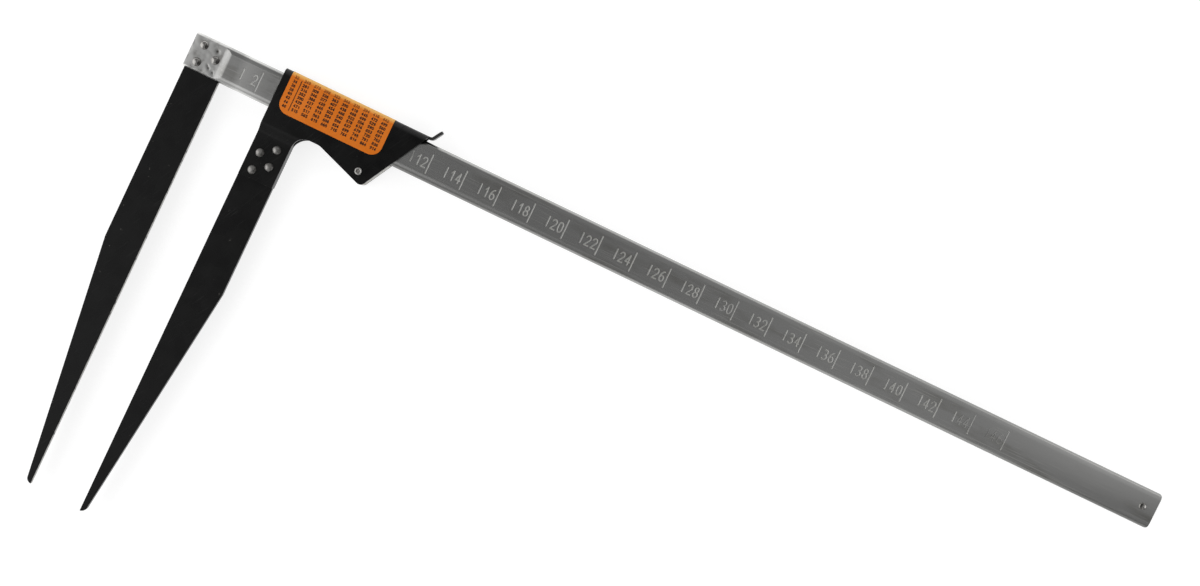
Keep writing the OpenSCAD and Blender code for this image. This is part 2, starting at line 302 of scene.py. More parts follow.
def add(tree, kind, inputs=None, **settings):
    """Adds a node, with its settings, its values and its links"""
    made = tree.nodes.new("ShaderNode" + kind)
    for key, value in settings.items():
        setattr(made, key, value)
    for key, value in (inputs or {}).items():
        if isinstance(value, bpy.types.NodeSocket):
            tree.links.new(value, made.inputs[key])
        else:
            made.inputs[key].default_value = value
    return made


def new_material(name):
    """An empty material, its node tree and the place in the object in millimetres"""
    material = bpy.data.materials.new(name)
    material.use_nodes = True
    tree = material.node_tree
    tree.nodes.clear()
    here = add(tree, "TexCoord").outputs["Object"]
    place = add(tree, "VectorMath", {0: here, 1: (1 / MM,) * 3}, operation="MULTIPLY").outputs[0]
    return material, tree, place


# Drawn aluminium, handled for years: fine streaks along the tube, scuffs from the slider's passing, and
# brighter lines where the flat turns into the round edge. Painted shade darkens the outer round edges,
# more towards the free end, and the lower one near both ends. A painted sheen lightens the free end's
# upper half, and a painted highlight the metal by the figure 2. The pressed end is paler, with stains,
# painted shade in its dents and a bright cut edge.
# Grey-white residue lies in the struck strokes. The runs below are in millimetres along and across the beam.
worn_line_off = 6.75
worn_line_fade = (0.32, 0.08)
free_end_run = (430.0, 510.0)
sheen_rise = (5.0, 17.0)
rim_off = (8.5, 9.3)
rim_shade_run, rim_shade_share = (60.0, 460.0), (0.2, 0.9)
low_rim_fall = (2.1, 1.0)
past_slider_run = (40.0, 60.0)
near_jaw_run = (260.0, 130.0)
shade_share = 0.75
highlight_start, highlight_end = (6.0, 11.0), (26.0, 10.0)
cut_edge_run = (-17.0, -20.0)
satin_range = (0.23, 0.27)
pressed_rougher, residue_rougher = 0.08, 0.4

aluminium, tree, place = new_material("aluminium_drawn_scuffed")
streak_at = add(tree, "VectorMath", {0: place, 1: per_size(60, 0.4, 0.4)}, operation="MULTIPLY").outputs[0]
streaks = add(tree, "TexNoise", {"Vector": streak_at, "Scale": 1.0, "Detail": 3.0}).outputs[0]
cloud_at = add(tree, "VectorMath", {0: place, 1: per_size(26, 7, 7)}, operation="MULTIPLY").outputs[0]
clouds = add(tree, "TexNoise", {"Vector": cloud_at, "Scale": 1.0, "Detail": 4.0}).outputs[0]
scuff_at = add(tree, "VectorMath", {0: place, 1: per_size(22, 0.5, 0.5)}, operation="MULTIPLY").outputs[0]
scuff_noise = add(
    tree, "TexNoise", {"Vector": scuff_at, "Scale": 1.0, "Detail": 1.0, "Roughness": 0.4}
).outputs[0]
scuffs = add(tree, "MapRange", {0: scuff_noise, 1: 0.64, 2: 0.72}).outputs[0]
dull = add(tree, "MapRange", {0: clouds, 1: 0.5, 2: 0.75}).outputs[0]

along, across = add(tree, "SeparateXYZ", {0: place}).outputs[:2]
from_middle = add(tree, "Math", {0: across, 1: beam_middle}, operation="SUBTRACT").outputs[0]
off_middle = add(tree, "Math", {0: from_middle}, operation="ABSOLUTE").outputs[0]
off_line = add(tree, "Math", {0: off_middle, 1: worn_line_off}, operation="SUBTRACT").outputs[0]
line_gap = add(tree, "Math", {0: off_line}, operation="ABSOLUTE").outputs[0]
line_core = add(tree, "MapRange", {0: line_gap, 1: worn_line_fade[0], 2: worn_line_fade[1]}).outputs[0]
line_break = add(tree, "MapRange", {0: clouds, 1: 0.42, 2: 0.62}).outputs[0]
worn_line = add(tree, "Math", {0: line_core, 1: line_break}, operation="MULTIPLY").outputs[0]
bright = add(tree, "Math", {0: scuffs, 1: worn_line}, operation="MAXIMUM").outputs[0]

# Painted sheen: the upper half of the free end is lightened
near_end = add(tree, "MapRange", {0: along, 1: free_end_run[0], 2: free_end_run[1]}).outputs[0]
upper_half = add(tree, "MapRange", {0: across, 1: sheen_rise[0], 2: sheen_rise[1]}).outputs[0]
painted_end_sheen = add(tree, "Math", {0: upper_half, 1: near_end}, operation="MULTIPLY").outputs[0]

# Painted shade: the outermost round edges are darkened, more towards the free end
rim = add(tree, "MapRange", {0: off_middle, 1: rim_off[0], 2: rim_off[1]}).outputs[0]
rim_shade_amount = add(
    tree, "MapRange", {0: along, 1: rim_shade_run[0], 2: rim_shade_run[1], 3: rim_shade_share[0], 4: rim_shade_share[1]}
).outputs[0]
painted_rim_shade = add(tree, "Math", {0: rim, 1: rim_shade_amount}, operation="MULTIPLY").outputs[0]

# Painted shade: the lower round edge is darkened near both ends
low_rim = add(tree, "MapRange", {0: across, 1: low_rim_fall[0], 2: low_rim_fall[1]}).outputs[0]
past_slider = add(tree, "MapRange", {0: along, 1: past_slider_run[0], 2: past_slider_run[1]}).outputs[0]
near_jaw = add(
    tree, "MapRange", {0: along, 1: near_jaw_run[0], 2: near_jaw_run[1], 4: past_slider}
).outputs[0]
near_ends = add(tree, "Math", {0: near_jaw, 1: near_end}, operation="MAXIMUM").outputs[0]
shaded_rim = add(tree, "Math", {0: low_rim, 1: near_ends}, operation="MULTIPLY").outputs[0]
shaded_rim = add(tree, "Math", {0: shaded_rim, 1: shade_share}, operation="MULTIPLY").outputs[0]

# Painted highlight: the face is lightened from about 6 to 26 mm along the beam, by the figure 2
highlight_in = add(tree, "MapRange", {0: along, 1: highlight_start[0], 2: highlight_start[1]}).outputs[0]
highlight_out = add(tree, "MapRange", {0: along, 1: highlight_end[0], 2: highlight_end[1]}).outputs[0]
painted_highlight = add(tree, "Math", {0: highlight_in, 1: highlight_out}, operation="MULTIPLY").outputs[0]

pressed = add(tree, "MapRange", {0: along, 1: slope[1], 2: slope[0]}).outputs[0]
stain_noise = add(tree, "TexNoise", {"Vector": place, "Scale": 1 / 4.5, "Detail": 3.0}).outputs[0]
stain_core = add(tree, "MapRange", {0: stain_noise, 1: 0.52, 2: 0.68}).outputs[0]
stains = add(tree, "Math", {0: stain_core, 1: pressed}, operation="MULTIPLY").outputs[0]
cut_edge = add(tree, "MapRange", {0: along, 1: cut_edge_run[0], 2: cut_edge_run[1]}).outputs[0]
# Painted shade in the dents, from their depth
dent_shade = add(tree, "Attribute", attribute_name="dent_shade").outputs["Fac"]

strike = add(tree, "Attribute", attribute_name="struck").outputs["Fac"]
residue_noise = add(tree, "TexNoise", {"Vector": place, "Scale": 1 / 1.6, "Detail": 2.0}).outputs[0]
residue_share = add(tree, "MapRange", {0: residue_noise, 1: 0.3, 2: 0.55, 3: 0.6, 4: 1.0}).outputs[0]
residue = add(tree, "Math", {0: strike, 1: residue_share}, operation="MULTIPLY", use_clamp=True).outputs[0]

# Each layer lies over those before it
base = add(
    tree, "Mix", {0: streaks, 6: linear("#c5c5c4"), 7: linear("#c9c9c7")}, data_type="RGBA"
).outputs[2]
for share, colour in (
    (dull, "#aeada9"), (bright, "#d9d9d6"), (painted_end_sheen, "#efefed"), (painted_rim_shade, "#858583"),
    (shaded_rim, "#626260"), (painted_highlight, "#e4e4e2"), (pressed, "#d9d9d7"), (stains, "#b4b3b0"),
    (cut_edge, "#f2f2f0"), (dent_shade, "#6b6965"), (residue, "#a6a6a1"),
):
    base = add(tree, "Mix", {0: share, 6: base, 7: linear(colour)}, data_type="RGBA").outputs[2]
metal = add(tree, "MapRange", {0: residue, 3: 1.0, 4: 0.15}).outputs[0]
satin = add(
    tree, "MapRange", {0: streaks, 1: 0.3, 2: 0.7, 3: satin_range[0], 4: satin_range[1]}
).outputs[0]
satin = add(tree, "Math", {0: pressed, 1: pressed_rougher, 2: satin}, operation="MULTIPLY_ADD").outputs[0]
rough = add(
    tree, "Math", {0: residue, 1: residue_rougher, 2: satin}, operation="MULTIPLY_ADD", use_clamp=True
).outputs[0]
grooves = add(tree, "Bump", {"Height": streaks, "Strength": 0.02, "Distance": 0.01 * MM}).outputs[0]
shader = add(
    tree, "BsdfPrincipled", {"Base Color": base, "Metallic": metal, "Roughness": rough, "Normal": grooves}
)
add(tree, "OutputMaterial", {0: shader.outputs[0]})

beam = finished(beam_mesh, "beam_struck_scale", beam_crease, scale_faces)
beam.data.materials.append(aluminium)
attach(beam, "beam_assembly")
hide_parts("beam")


# Fixed jaw
# A tapered blade of flat steel, blanked and painted black, with its tang between the tube's pressed walls.
# Its inner edge is the measuring face, where logs have rubbed the paint away.
edge_round = 0.25
round_segments = 2
rivet_clear_r = 1.8
joined_angle = 0.4
sharp_angle = 38
sheet_crease = 30
fixed_face = 0.0
edge_wear = 0.14


def softened(node_name, name, width, skip, worn_face=None):
    """A copy of a sheet-metal node with rounded edges, apart from those of the rivet holes at skip.
    Faces on the plane x = worn_face get the third material, the rounded edges the second."""
    bm = welded_copy(node_name)
    bmesh.ops.dissolve_limit(bm, angle_limit=math.radians(joined_angle), verts=bm.verts, edges=bm.edges)
    weight = bm.edges.layers.float.new("bevel_weight_edge")
    for edge in bm.edges:
        middle = (edge.verts[0].co + edge.verts[1].co).xy / 2 / MM
        hole = any((middle - Vector(p)).length < rivet_clear_r for p in skip)
        if not hole and edge.is_manifold and edge.calc_face_angle() > math.radians(sharp_angle):
            edge[weight] = 1.0
    for face in bm.faces:
        if worn_face is not None and all(abs(v.co.x / MM - worn_face) < same_place for v in face.verts):
            face.material_index = 2
    piece = finished(bm, name, sheet_crease)
    bevel = piece.modifiers.new("rounded_edges", "BEVEL")
    bevel.limit_method = "WEIGHT"
    bevel.width = width * MM
    bevel.segments = round_segments
    bevel.material = 1
    bevel.harden_normals = True
    return piece


def black_paint(name, wear, sheen_y=None):
    """Semi-matte black paint sprayed on steel: a faint orange peel, dusty clouds and fine scratches.
    With more wear the steel comes through in patches, as along the edges, and a painted sheen
    greys the paint over a span in y."""
    material, tree, place = new_material(name)
    clouds = add(tree, "TexNoise", {"Vector": place, "Scale": 1 / 9, "Detail": 5.0}).outputs[0]
    dust = add(tree, "MapRange", {0: clouds, 1: 0.35, 2: 0.7}).outputs[0]
    turned = add(tree, "VectorRotate", {"Vector": place, "Angle": 0.5}, rotation_type="Z_AXIS").outputs[0]
    scratch_at = add(
        tree, "VectorMath", {0: turned, 1: per_size(0.35, 14, 2)}, operation="MULTIPLY"
    ).outputs[0]
    scratch_noise = add(tree, "TexNoise", {"Vector": scratch_at, "Scale": 1.0, "Detail": 0.0}).outputs[0]
    scratches = add(tree, "MapRange", {0: scratch_noise, 1: 0.74, 2: 0.8}).outputs[0]
    chips_noise = add(tree, "TexNoise", {"Vector": place, "Scale": 1 / 2.5, "Detail": 6.0}).outputs[0]
    chips = add(tree, "MapRange", {0: chips_noise, 1: 0.72 - wear, 2: 0.78 - wear}).outputs[0]
    peel = add(tree, "TexNoise", {"Vector": place, "Scale": 1 / 0.5, "Detail": 1.0}).outputs[0]
    layers = [(scratches, "#1b1b1b"), (chips, "#5d5a57")]
    if sheen_y:
        across = add(tree, "SeparateXYZ", {0: place}).outputs[1]
        # Painted sheen: the black is lifted to grey over the span in y
        painted_sheen = add(tree, "MapRange", {0: across, 1: sheen_y[0], 2: sheen_y[1]}).outputs[0]
        layers.insert(0, (painted_sheen, "#383838"))
    base = add(
        tree, "Mix", {0: dust, 6: linear("#060606"), 7: linear("#0d0d0d")}, data_type="RGBA"
    ).outputs[2]
    for share, colour in layers:
        base = add(tree, "Mix", {0: share, 6: base, 7: linear(colour)}, data_type="RGBA").outputs[2]
    metal = add(tree, "Math", {0: chips, 1: 0.7}, operation="MULTIPLY").outputs[0]
    rough = add(tree, "MapRange", {0: dust, 3: 0.25, 4: 0.31}).outputs[0]
    skin = add(tree, "Bump", {"Height": peel, "Strength": 0.15, "Distance": 0.03 * MM}).outputs[0]
    shader = add(
        tree, "BsdfPrincipled", {"Base Color": base, "Metallic": metal, "Roughness": rough, "Normal": skin}
    )
    shader.inputs["Specular IOR Level"].default_value = 0.3
    add(tree, "OutputMaterial", {0: shader.outputs[0]})
    return material


paint = black_paint("black_paint_sprayed", 0.0)
worn_paint = black_paint("black_paint_worn_edge", edge_wear)

# Steel rubbed bare by bark: grey, finely scratched along the face, with dark specks of old paint
bare_steel, tree, place = new_material("steel_rubbed_bare")
rub_at = add(tree, "VectorMath", {0: place, 1: per_size(1, 12, 0.3)}, operation="MULTIPLY").outputs[0]
rubs = add(tree, "TexNoise", {"Vector": rub_at, "Scale": 1.0, "Detail": 3.0}).outputs[0]
speck_noise = add(tree, "TexNoise", {"Vector": place, "Scale": 1 / 3, "Detail": 5.0}).outputs[0]
specks = add(tree, "MapRange", {0: speck_noise, 1: 0.56, 2: 0.64}).outputs[0]
base = add(tree, "Mix", {0: rubs, 6: linear("#8d8b88"), 7: linear("#bdbbb7")}, data_type="RGBA").outputs[2]
base = add(tree, "Mix", {0: specks, 6: base, 7: linear("#1d1c1b")}, data_type="RGBA").outputs[2]
metal = add(tree, "MapRange", {0: specks, 3: 1.0, 4: 0.0}).outputs[0]
rough = add(tree, "MapRange", {0: rubs, 3: 0.3, 4: 0.5}).outputs[0]
shader = add(tree, "BsdfPrincipled", {"Base Color": base, "Metallic": metal, "Roughness": rough})
add(tree, "OutputMaterial", {0: shader.outputs[0]})

fixed_jaw = softened("fixed_jaw", "fixed_jaw_blade", edge_round, fixed_rivets, worn_face=fixed_face)
for material in (paint, worn_paint, bare_steel):
    fixed_jaw.data.materials.append(material)
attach(fixed_jaw, "beam_assembly")
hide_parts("fixed_jaw")


# Rivets of the fixed jaw
# Three solid aluminium rivets, set through tube and tang and peened by hand on both faces,
# so that each dome carries the small flats of the last hammer blows.
dome_d, dome_h = 4.8, 1.7
blow_tilt = (8, 34)
blow_depth = (0.0, 0.05)
blow_count = 3
blow_share = 0.85
rivet_crease = 40
fixed_blows = 11


def peened(node_name, name, heads, head_z, seed):
    """A copy of a node of domed rivets, with each dome flattened by a few hammer blows"""
    blows = random.Random(seed)
    bm = welded_copy(node_name)
    ball_r = (dome_d**2 / 4 + dome_h**2) / (2 * dome_h)
    for (x, y), side in [(p, s) for p in heads for s in (1, -1)]:
        centre = Vector((x, y, side * (head_z + dome_h - ball_r)))
        dome = [
            v for v in bm.verts
            if (v.co.xy / MM - centre.xy).length < dome_d and v.co.z / MM * side > head_z
        ]
        for _ in range(blow_count):
            tilt, turn = math.radians(blows.uniform(*blow_tilt)), blows.uniform(0, 2 * math.pi)
            reach = ball_r - blows.uniform(*blow_depth)
            lean = math.sin(tilt)
            way = Vector((lean * math.cos(turn), lean * math.sin(turn), side * math.cos(tilt)))
            for v in dome:
                proud = (v.co / MM - centre).dot(way) - reach
                if proud > 0:
                    v.co -= way * proud * blow_share * MM
    return finished(bm, name, rivet_crease)


def rivet_metal(name, clean, tarnished, roughness):
    """A rivet's bare or plated metal: bright on the flats, tarnished in patches and finely pitted"""
    material, tree, place = new_material(name)
    pits = add(tree, "TexNoise", {"Vector": place, "Scale": 1 / 0.5, "Detail": 3.0}).outputs[0]
    tarnish_noise = add(tree, "TexNoise", {"Vector": place, "Scale": 1 / 1.8, "Detail": 4.0}).outputs[0]
    tarnish = add(tree, "MapRange", {0: tarnish_noise, 1: 0.45, 2: 0.7}).outputs[0]
    base = add(
        tree, "Mix", {0: tarnish, 6: linear(clean), 7: linear(tarnished)}, data_type="RGBA"
    ).outputs[2]
    rough = add(tree, "MapRange", {0: tarnish, 3: roughness, 4: roughness + 0.08}).outputs[0]
    pitted = add(tree, "Bump", {"Height": pits, "Strength": 0.15, "Distance": 0.03 * MM}).outputs[0]
    shader = add(
        tree, "BsdfPrincipled", {"Base Color": base, "Metallic": 1.0, "Roughness": rough, "Normal": pitted}
    )
    add(tree, "OutputMaterial", {0: shader.outputs[0]})
    return material


# Bare aluminium, bright and smooth where the hammer closed it
bright_rivet = rivet_metal("aluminium_rivet_peened", "#c0bebb", "#b0aeaa", 0.2)

rivets = peened("fixed_jaw_rivets", "fixed_jaw_rivets_peened", fixed_rivets, pressed_z, fixed_blows)
rivets.data.materials.append(bright_rivet)
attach(rivets, "beam_assembly")
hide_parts("fixed_jaw_rivets")


# Stop rivet
# A hollow-ended aluminium rivet near the free end, at which the slider stops. Its front end is rolled out
# round a dished middle, and its back end is a low dome.
stop_spot = (541.66, 10.0)
cup_radii = (0.0, 0.7, 1.15, 1.5, 1.68, 1.82, 1.93, 2.0)
cup_heights = (0.10, 0.14, 0.30, 0.66, 0.78, 0.70, 0.42, 0.0)
seat_margin = 0.01
stop_mesh = welded_copy("stop_rivet")
head_edges = [e for e in stop_mesh.edges if min(v.co.z for v in e.verts) / MM > front_z - seat_margin]
bmesh.ops.subdivide_edges(stop_mesh, edges=head_edges, cuts=1, use_grid_fill=True)
for v in stop_mesh.verts:
    off = (v.co.xy / MM - Vector(stop_spot)).length
    if v.co.z / MM > front_z + seat_margin:
        v.co.z = (front_z + np.interp(off, cup_radii, cup_heights)) * MM
stop_rivet = finished(stop_mesh, "stop_rivet_cupped", rivet_crease)
stop_rivet.data.materials.append(bright_rivet)
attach(stop_rivet, "beam_assembly")
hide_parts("stop_rivet")


# Slider
# One sheet of steel folded over the beam's upper edge, with a leg for the moving jaw, an arch for a finger,
# an ear and a tab for the thumb. It is blanked, folded, stepped in a press and painted black.
slider_edge_round = 0.2
moving_rivets = [(43.8, -18.8), (36.2, -23.8), (43.8, -28.8), (36.2, -33.8)]
eye = (88.05, -10.01)
# Painted sheen: the top of the fold is greyed over this span in y
fold_sheen_span = (19.4, 21.8)
slider = softened("slider", "slider_folded_sheet", slider_edge_round, moving_rivets + [eye])
fold_sheen_paint = black_paint("black_paint_sheen_fold", 0.0, sheen_y=fold_sheen_span)
for material in (fold_sheen_paint, worn_paint):
    slider.data.materials.append(material)
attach(slider, "slider_assembly")
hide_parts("slider")


# Guide block
# A block of natural nylon between the ear's plates, which runs under the beam's lower edge.
# It is sawn from bar, so its edges are plain, and grease and dirt have greyed it.
nylon, tree, place = new_material("nylon_sawn_greyed")
saw_at = add(tree, "VectorMath", {0: place, 1: per_size(0.6, 5, 5)}, operation="MULTIPLY").outputs[0]
saw = add(tree, "TexNoise", {"Vector": saw_at, "Scale": 1.0, "Detail": 2.0}).outputs[0]
grime_noise = add(tree, "TexNoise", {"Vector": place, "Scale": 1 / 4, "Detail": 4.0}).outputs[0]
grime = add(tree, "MapRange", {0: grime_noise, 1: 0.5, 2: 0.75}).outputs[0]
base = add(tree, "Mix", {0: grime, 6: linear("#dcdad2"), 7: linear("#b5b1a6")}, data_type="RGBA").outputs[2]
rough = add(tree, "MapRange", {0: saw, 3: 0.4, 4: 0.6}).outputs[0]
sawn = add(tree, "Bump", {"Height": saw, "Strength": 0.2, "Distance": 0.04 * MM}).outputs[0]
shader = add(tree, "BsdfPrincipled", {"Base Color": base, "Roughness": rough, "Normal": sawn})
add(tree, "OutputMaterial", {0: shader.outputs[0]})
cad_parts["guide_block"].material_slots[0].material = nylon


# Corner rivet
# A plated steel rivet through the ear and the guide block. Its front end is hollow and rolled out into
# a bright ring, and at the back it has a low dome. The plating is pale and a little dull.
plated_rivet = rivet_metal("steel_rivet_plated", "#f0eeeb", "#dcdad6", 0.3)
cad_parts["corner_rivet"].material_slots[0].material = plated_rivet


# Moving jaw
# The second blade of flat steel, painted black like the first, riveted between the slider's legs.
# Its left edge is the other measuring face.
moving_face = 30.0
moving_jaw = softened("moving_jaw", "moving_jaw_blade", edge_round, moving_rivets, worn_face=moving_face)
for material in (paint, worn_paint, bare_steel):
    moving_jaw.data.materials.append(material)
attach(moving_jaw, "slider_assembly")
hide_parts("moving_jaw")


# Rivets of the moving jaw
# Four more solid aluminium rivets, in a zigzag through both legs and the blade, peened on both faces.
# Handling has left them duller than the first three.
leg_z = 3.1
moving_blows = 13
rivets = peened("moving_jaw_rivets", "moving_jaw_rivets_peened", moving_rivets, leg_z, moving_blows)
dull_rivet = rivet_metal("aluminium_rivet_dulled", "#bab8b5", "#a09e9a", 0.42)
rivets.data.materials.append(dull_rivet)
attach(rivets, "slider_assembly")
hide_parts("moving_jaw_rivets")


# Label
# Orange plastic film with a printed table, stuck on the front plate and folded over the slider's top.
# The film is satin, its colour has faded a little in clouds, and a painted highlight makes it pale along the
# fold.
film_highlight_span = (20.4, 22.4)
film, tree, place = new_material("plastic_film_orange_printed")
fade_noise = add(tree, "TexNoise", {"Vector": place, "Scale": 1 / 14, "Detail": 4.0}).outputs[0]
fade = add(tree, "MapRange", {0: fade_noise, 1: 0.35, 2: 0.7}).outputs[0]
grain = add(tree, "TexNoise", {"Vector": place, "Scale": 1 / 0.4, "Detail": 2.0}).outputs[0]
base = add(tree, "Mix", {0: fade, 6: linear("#d77012"), 7: linear("#de7822")}, data_type="RGBA").outputs[2]
up_film = add(tree, "SeparateXYZ", {0: place}).outputs[1]
# Painted highlight: the film is lightened along the fold
painted_highlight = add(tree, "MapRange", {0: up_film, 1: film_highlight_span[0], 2: film_highlight_span[1]}).outputs[0]
base = add(tree, "Mix", {0: painted_highlight, 6: base, 7: linear("#ffc46c")}, data_type="RGBA").outputs[2]
rough = add(tree, "MapRange", {0: grain, 3: 0.36, 4: 0.5}).outputs[0]
skin = add(tree, "Bump", {"Height": grain, "Strength": 0.1, "Distance": 0.02 * MM}).outputs[0]
shader = add(tree, "BsdfPrincipled", {"Base Color": base, "Roughness": rough, "Normal": skin})
shader.inputs["Specular IOR Level"].default_value = 0.35
add(tree, "OutputMaterial", {0: shader.outputs[0]})
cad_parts["label"].material_slots[0].material = film


# Print on the label
# A table of plain figures in dark ink: on the left the log's diameter in centimetres, then the litres
# of wood in such a log for nine lengths in decimetres. The litres are worked out here, and the top row
# lies where the film bends.
label_front = 5.55
label_bend_y = 20.5
label_bend_z = 3.0
label_bend_r = label_front - label_bend_z
print_rows = [4.2, 6.6, 9.1, 11.4, 13.7, 16.0, 18.3, 20.7]
first_column = 37.7
rule_x = 40.9
rule_span = (3.0, 20.0)
table_column = 43.9
table_pitch = 5.74
table_columns = 9
largest_diameter, diameter_step = 46, 2
shortest_length, length_step = 31, 3
print_size = (0.74, 1.3)
print_pitch = 1.2
ink_width = 0.43
ink_proud = 0.02
ink_step = 0.3
ink_crease = 30


def on_label(x, up, proud):
    """A place on the label, given along the beam and up the film, which turns back over the fold"""
    over = up - label_bend_y
    quarter = label_bend_r * math.pi / 2
    if over <= 0:
        y, z, out = up, label_front, (0, 1)
    elif over < quarter:
        turn = over / label_bend_r
        out = (math.sin(turn), math.cos(turn))
        y, z = label_bend_y + label_bend_r * out[0], label_bend_z + label_bend_r * out[1]
    else:
        y, z, out = label_bend_y + label_bend_r, label_bend_z - (over - quarter), (1, 0)
    return Vector((x, y + out[0] * proud, z + out[1] * proud)) * MM


def resampled(stroke, step):
    """A stroke with points no further apart than a step, so that it can follow the fold"""
    points = [Vector(p) for p in stroke]
    fine = points[:1]
    for a, b in zip(points, points[1:]):
        parts = math.ceil((b - a).length / step)
        fine += [a.lerp(b, i / parts) for i in range(1, parts + 1)]
    return fine


def inked(bm, strokes):
    """Ink along strokes that may touch or cross: one thin closed body that follows the film"""
    strokes = [resampled(stroke, ink_step) for stroke in strokes]
    points, edges = [], []
    for stroke in strokes:
        outline = stroke_outline(stroke, ink_width)
        edges += [(len(points) + i, len(points) + (i + 1) % len(outline)) for i in range(len(outline))]
        points += outline
    net, _, faces, _, _, _ = delaunay_2d_cdt(points, edges, [], 0, net_weld)
    starts = np.array([p for stroke in strokes for p in stroke[:-1]])
    ends = np.array([p for stroke in strokes for p in stroke[1:]])
    middles = [np.array(sum((net[k] for k in face), Vector((0, 0))) / len(face)) for face in faces]
    faces = [f for f, m in zip(faces, middles) if stroke_gaps(m, starts, ends).min() < ink_width / 2]
    used = sorted({k for face in faces for k in face})
    top = {k: bm.verts.new(on_label(*net[k], ink_proud)) for k in used}
    foot = {k: bm.verts.new(on_label(*net[k], -ink_proud)) for k in used}
    rim = {}
    for face in faces:
        bm.faces.new([top[k] for k in face])
        bm.faces.new([foot[k] for k in reversed(face)])
        for a, b in zip(face, face[1:] + face[:1]):
            if rim.pop((b, a), None) is None:
                rim[a, b] = True
    for a, b in rim:
        bm.faces.new([top[b], top[a], foot[a], foot[b]])


ink_mesh = bmesh.new()
for row, up in enumerate(print_rows):
    diameter = largest_diameter - diameter_step * row
    base_up = up - print_size[1] / 2
    texts = [(str(diameter), first_column + print_pitch / 2)]
    for column in range(table_columns):
        length = shortest_length + length_step * column
        litres = round(math.pi / 4 * (diameter / 10) ** 2 * length)
        texts.append((str(litres), table_column + table_pitch * column + print_pitch))
    for text, last_centre in texts:
        inked(ink_mesh, number_strokes(text, last_centre, base_up, print_size, print_pitch))
inked(ink_mesh, [[(rule_x, rule_span[0]), (rule_x, rule_span[1])]])
bmesh.ops.recalc_face_normals(ink_mesh, faces=ink_mesh.faces)

# Screen-printed ink: near black and matte, thin enough in places for the orange to warm it,
# and rubbed away to orange along the fold
ink_rubbed, rubbed_most = (19.6, 21.2), 0.8
ink, tree, place = new_material("screen_print_ink")
thin_noise = add(tree, "TexNoise", {"Vector": place, "Scale": 1 / 1.2, "Detail": 3.0}).outputs[0]
thin = add(tree, "MapRange", {0: thin_noise, 1: 0.4, 2: 0.7}).outputs[0]
base = add(tree, "Mix", {0: thin, 6: linear("#140c07"), 7: linear("#2e1c0e")}, data_type="RGBA").outputs[2]
up_print = add(tree, "SeparateXYZ", {0: place}).outputs[1]
rubbed_off = add(
    tree, "MapRange", {0: up_print, 1: ink_rubbed[0], 2: ink_rubbed[1], 4: rubbed_most}
).outputs[0]
base = add(tree, "Mix", {0: rubbed_off, 6: base, 7: linear("#b8651a")}, data_type="RGBA").outputs[2]
shader = add(tree, "BsdfPrincipled", {"Base Color": base, "Roughness": 0.6})
add(tree, "OutputMaterial", {0: shader.outputs[0]})

label_print = finished(ink_mesh, "label_print", ink_crease)
label_print.data.materials.append(ink)
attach(label_print, "slider_assembly")


# Studio
# A white paper floor under the caliper's back, and three low soft boxes: two on its left, in front and
# behind, and one beyond the free end. The room is grey, with a pale window side to the left, and pales
# towards the horizon. The camera looks down on the beam's face, about two degrees off square.
floor_half = 12.0
floor_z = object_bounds()[0].z
floor_corners = [
    (x * floor_half, y * floor_half, floor_z) for x, y in ((-1, -1), (1, -1), (1, 1), (-1, 1))
]
floor_mesh = bpy.data.meshes.new("floor")
floor_mesh.from_pydata(floor_corners, [], [(0, 1, 2, 3)])
floor = bpy.data.objects.new("floor", floor_mesh)
bpy.context.scene.collection.objects.link(floor)

# White paper: it shows white wherever the lamps reach it, and keeps a soft shadow under the object
paper_lift = 0.82
paper, tree, place = new_material("floor_white_paper")
fibre = add(tree, "TexNoise", {"Vector": place, "Scale": 1 / 3, "Detail": 3.0}).outputs[0]
white = add(tree, "Mix", {0: fibre, 6: linear("#949494"), 7: linear("#989898")}, data_type="RGBA").outputs[2]
matte = add(tree, "BsdfDiffuse", {"Color": white})
ray = add(tree, "LightPath").outputs
seen = add(
    tree, "Math", {0: ray["Is Camera Ray"], 1: ray["Is Glossy Ray"]}, operation="MAXIMUM"
).outputs[0]
seen = add(tree, "Math", {0: seen, 1: ray["Is Transmission Ray"]}, operation="MAXIMUM").outputs[0]
lift = add(tree, "Math", {0: seen, 1: paper_lift}, operation="MULTIPLY").outputs[0]
glow = add(tree, "Emission", {"Color": linear("#ffffff"), "Strength": lift})
both = add(tree, "AddShader", {0: matte.outputs[0], 1: glow.outputs[0]})
add(tree, "OutputMaterial", {0: both.outputs[0]})
floor_mesh.materials.append(paper)

# The room's brightness by direction: a wide window to the image's left, a pale panel and a darker wall
# towards the free end, a slightly paler wall behind, and a pale horizon
image_left = (-0.90, -0.43, 0.0)
window_width, window_foot = (0.55, 0.85), (0.18, 0.46)
room_grey, window_white = 0.14, 1.0
panel_near, panel_far, panel_white = (0.02, 0.17), (0.3, 0.42), 0.18
far_wall_run, far_wall_darker = (0.36, 0.55), -0.09
back_wall_run, back_wall_paler = (0.1, 0.4), 0.06
horizon_rise, horizon_white, horizon_least = (0.03, 0.28), 0.5, 0.1
world = bpy.data.worlds.new("grey_room")
bpy.context.scene.world = world
world.use_nodes = True
tree = world.node_tree
tree.nodes.clear()
facing = add(tree, "TexCoord").outputs["Generated"]
leftward = add(tree, "VectorMath", {0: facing, 1: image_left}, operation="DOT_PRODUCT").outputs["Value"]
level = add(tree, "VectorMath", {0: facing, 1: (1, 1, 0)}, operation="MULTIPLY").outputs[0]
level = add(tree, "VectorMath", {0: level}, operation="LENGTH").outputs["Value"]
turned = add(tree, "Math", {0: leftward, 1: level}, operation="DIVIDE").outputs[0]
window_side = add(tree, "MapRange", {0: turned, 1: window_width[0], 2: window_width[1]}).outputs[0]
window_head = add(
    tree, "MapRange", {0: leftward, 1: window_foot[0], 2: window_foot[1]}, interpolation_type="SMOOTHSTEP"
).outputs[0]
